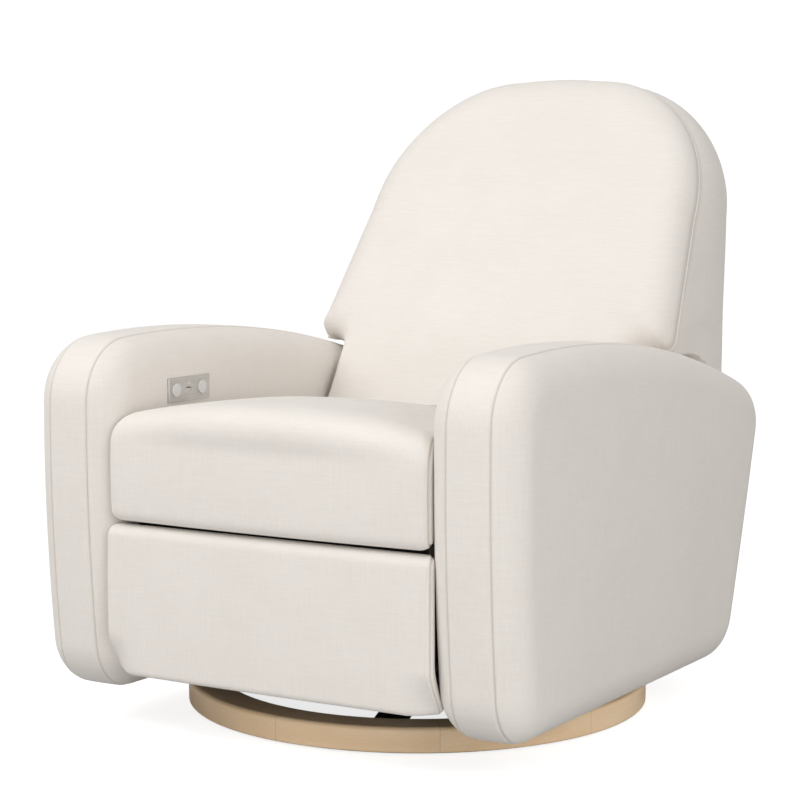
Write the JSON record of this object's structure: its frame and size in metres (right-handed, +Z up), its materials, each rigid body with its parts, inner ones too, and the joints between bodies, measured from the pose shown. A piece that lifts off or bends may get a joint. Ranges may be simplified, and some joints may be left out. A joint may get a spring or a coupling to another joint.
{
  "type": "glider recliner chair",
  "caption": "Upholstered glider recliner with track arms, arched back, fold-out footrest, push-button plate and a round wooden swivel base.",
  "frame": {"origin": "on the floor, at the swivel axis, the centre of the base ring's foot", "axes": "+Z up; the chair faces -Y; +X is the sitter's left"},
  "size_m": [0.8124, 1.0083, 0.977],
  "materials": {
    "fabric": "fine cream performance weave",
    "light_wood": "clear satin varnish on light hardwood",
    "frame_wood": "raw plywood and sawn timber",
    "black_steel": "black powder coat",
    "zinc_steel": "zinc plated",
    "silver_plate": "brushed, anodised",
    "black_plastic": "moulded, fine texture",
    "socket_metal": "tin plated",
    "button_grey": "moulded, satin",
    "grip_rubber": "moulded"
  },
  "bodies": {
    "base": {"base_ring": "light_wood", "floor_ring": "grip_rubber", "base_cross_bars": "black_steel", "ring_screws": "zinc_steel", "swivel_lower_race": "black_steel", "swivel_balls": "zinc_steel", "kingpin": "zinc_steel"},
    "swivel_deck": {"swivel_upper_race": "black_steel", "deck_tubes": "black_steel", "glide_stands": "black_steel", "upper_link_pins": "zinc_steel"},
    "front_swing": {"front_swing_links": "black_steel"},
    "rear_swing": {"rear_swing_links": "black_steel"},
    "chair": {"glider_rails": "black_steel", "lower_link_pins": "zinc_steel", "front_cross_tube": "black_steel", "frame_outriggers": "black_steel", "rear_cross_tube": "black_steel", "mechanism_side_plates": "black_steel", "leg_pivot_pins": "zinc_steel", "recline_hinge_pins": "zinc_steel", "left_arm_pad": "fabric", "right_arm_pad": "fabric", "arm_inner_panels": "frame_wood", "arm_outer_panels": "frame_wood", "arm_frame_rails": "frame_wood", "control_plate": "silver_plate", "switch_housing": "black_plastic", "usb_socket": "socket_metal", "rear_valance": "fabric", "power_inlet": "black_plastic", "actuator_casing": "black_plastic", "actuator_clevis": "black_steel", "actuator_pin": "zinc_steel"},
    "seat": {"seat_cushion": "fabric", "seat_side_rails": "frame_wood", "seat_cross_rails": "frame_wood", "seat_springs": "zinc_steel", "seat_hinge_plates": "black_steel"},
    "back": {"back_cushion": "fabric", "back_shell": "fabric", "back_posts": "frame_wood", "back_cross_rails": "frame_wood", "back_springs": "zinc_steel", "back_brackets": "black_steel", "back_bolts": "zinc_steel"},
    "drive": {"drive_shaft": "black_steel", "drive_cranks": "black_steel", "footrest_rear_links": "black_steel"},
    "front_legs": {"footrest_front_links": "black_steel"},
    "long_links": {"footrest_long_links": "black_steel"},
    "footrest": {"footrest_board": "frame_wood", "footrest_pad": "fabric", "footrest_brackets": "black_steel"},
    "tilt_links": {"footrest_tilt_links": "black_steel"},
    "actuator_rod": {"actuator_rod": "zinc_steel"},
    "open_button": {"open_button": "button_grey"},
    "close_button": {"close_button": "button_grey"}
  },
  "joints": [
    {"name": "swivel", "type": "hinge", "parent": "base", "child": "swivel_deck", "pos_m": [0, 0, 0.037], "axis": [0, 0, 1], "range_deg": [-135, 135]},
    {"name": "glide", "type": "hinge", "parent": "swivel_deck", "child": "front_swing", "pos_m": [0, -0.11, 0.2], "axis": [-1, 0, 0], "range_deg": [-18, 18]},
    {"name": "rear_glide", "type": "hinge", "parent": "swivel_deck", "child": "rear_swing", "pos_m": [0, 0.11, 0.2], "axis": [-1, 0, 0], "range_deg": [-18, 18]},
    {"name": "chair_level", "type": "hinge", "parent": "front_swing", "child": "chair", "pos_m": [0, -0.11, 0.085], "axis": [-1, 0, 0], "range_deg": [-18, 18]},
    {"name": "recline", "type": "hinge", "parent": "chair", "child": "back", "pos_m": [0, 0.275, 0.335], "axis": [-1, 0, 0], "range_deg": [0, 22]},
    {"name": "seat_tilt", "type": "hinge", "parent": "chair", "child": "seat", "pos_m": [0, 0.275, 0.335], "axis": [-1, 0, 0], "range_deg": [0, 4]},
    {"name": "footrest_drive", "type": "hinge", "parent": "chair", "child": "drive", "pos_m": [0, -0.294, 0.271], "axis": [-1, 0, 0], "range_deg": [0, 105]},
    {"name": "front_leg_swing", "type": "hinge", "parent": "chair", "child": "front_legs", "pos_m": [0, -0.34, 0.29], "axis": [-1, 0, 0], "range_deg": [0, 105]},
    {"name": "long_link_swing", "type": "hinge", "parent": "front_legs", "child": "long_links", "pos_m": [0, -0.2375, 0.11246], "axis": [-1, 0, 0], "range_deg": [-105, 0]},
    {"name": "footrest_tilt", "type": "hinge", "parent": "long_links", "child": "footrest", "pos_m": [0, -0.384, 0.2], "axis": [-1, 0, 0], "range_deg": [0, 90]},
    {"name": "tilt_link_swing", "type": "hinge", "parent": "footrest", "child": "tilt_links", "pos_m": [0, -0.3858, 0.23], "axis": [-1, 0, 0], "range_deg": [-90.29, 0]},
    {"name": "actuator_stroke", "type": "slide", "parent": "chair", "child": "actuator_rod", "axis": [0, -0.9703, 0.2419], "range_m": [0, 0.101]},
    {"name": "open_press", "type": "slide", "parent": "chair", "child": "open_button", "axis": [-1, 0, 0], "range_m": [0, 0.0015], "stiffness_N_per_m": 400, "springref_m": -0.002},
    {"name": "close_press", "type": "slide", "parent": "chair", "child": "close_button", "axis": [-1, 0, 0], "range_m": [0, 0.0015], "stiffness_N_per_m": 400, "springref_m": -0.002}
  ],
  "couplings": [
    {"joint": "rear_glide", "follows": "glide", "ratio": 1},
    {"joint": "chair_level", "follows": "glide", "ratio": -1},
    {"joint": "seat_tilt", "follows": "recline", "ratio": 0.18182},
    {"joint": "front_leg_swing", "follows": "footrest_drive", "ratio": 1},
    {"joint": "long_link_swing", "follows": "footrest_drive", "ratio": -1},
    {"joint": "footrest_tilt", "follows": "footrest_drive", "ratio": 0.85714},
    {"joint": "tilt_link_swing", "follows": "footrest_drive", "ratio": -0.85981},
    {"joint": "actuator_stroke", "follows": "footrest_drive", "m_per_rad": 0.055113}
  ]
}
